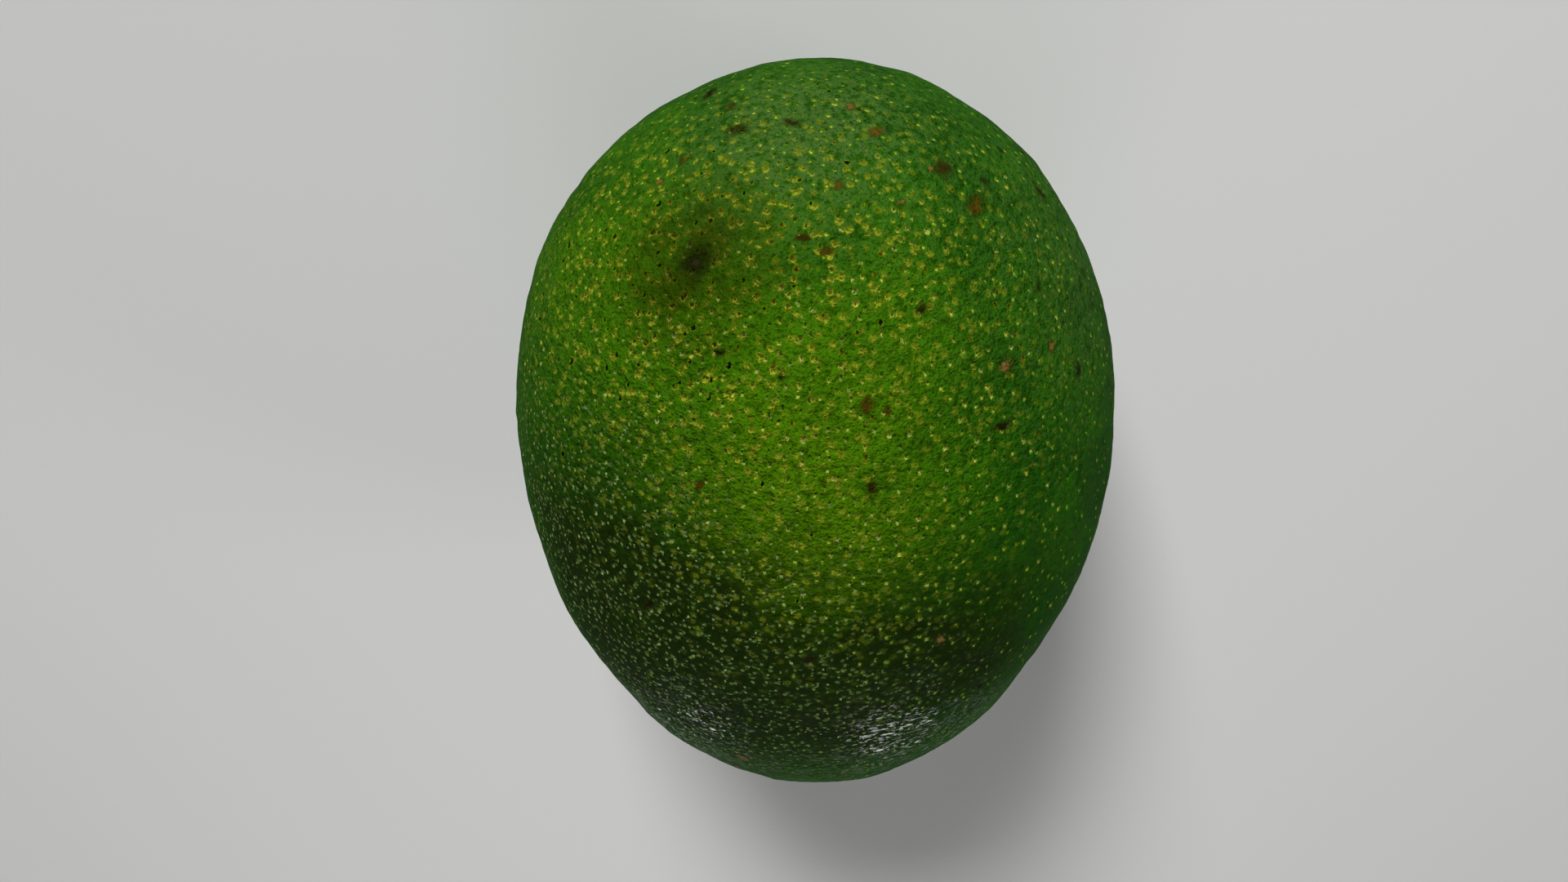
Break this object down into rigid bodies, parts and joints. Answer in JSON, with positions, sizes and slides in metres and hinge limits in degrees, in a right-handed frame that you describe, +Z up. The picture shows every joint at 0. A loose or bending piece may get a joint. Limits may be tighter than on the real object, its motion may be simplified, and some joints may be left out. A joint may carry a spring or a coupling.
{
  "type": "avocado",
  "caption": "Whole green avocado lying on its side, with a broad blossom end and a corky stem button in a hollow at its narrow end.",
  "frame": {"origin": "on the surface that the avocado lies on, under the middle of its bounding box", "axes": "+Y along the fruit towards its stem end, +X across it, +Z up"},
  "size_m": [0.069, 0.0978, 0.0684],
  "materials": {
    "skin": "leathery green avocado rind with pale raised pores, a faint waxy bloom and a soft satin gloss",
    "cork": "dry, rough, brown corky stem"
  },
  "bodies": {
    "root": {"fruit": "skin", "stem_button": "cork"}
  },
  "joints": []
}
